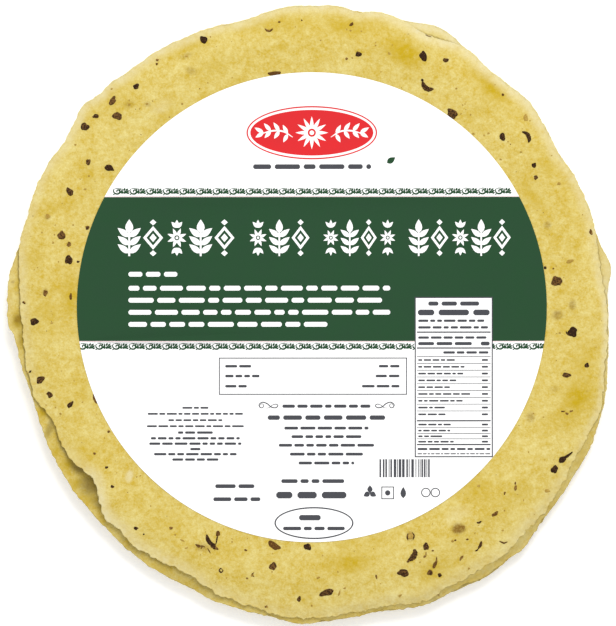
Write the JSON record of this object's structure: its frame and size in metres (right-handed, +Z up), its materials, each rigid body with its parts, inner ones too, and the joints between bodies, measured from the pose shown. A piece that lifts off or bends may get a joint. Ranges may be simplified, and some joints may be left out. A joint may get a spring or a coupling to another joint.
{
  "type": "stack of papadums with a round paper label",
  "caption": "Low stack of thin round dried flatbread wafers with uneven rims and pepper flecks, and a round printed paper label lying flat on top.",
  "frame": {"origin": "on the table, under the middle of the stack's bounding box", "axes": "+Z up through the stack, +Y towards the top edge of the label's print, +X to the print's right"},
  "size_m": [0.1902, 0.1948, 0.0119],
  "materials": {
    "dough": "matte",
    "pepper": "matte",
    "label_paper": "satin",
    "label_green": "satin",
    "label_red": "satin",
    "label_ink": "satin"
  },
  "bodies": {
    "root": {"papadum_01": "dough", "papadum_02": "dough", "papadum_03": "dough", "papadum_04": "dough", "papadum_05": "dough", "papadum_06": "dough", "papadum_07": "dough", "papadum_08": "dough", "papadum_09": "dough", "papadum_10": "dough", "label": "label_paper"}
  },
  "joints": []
}
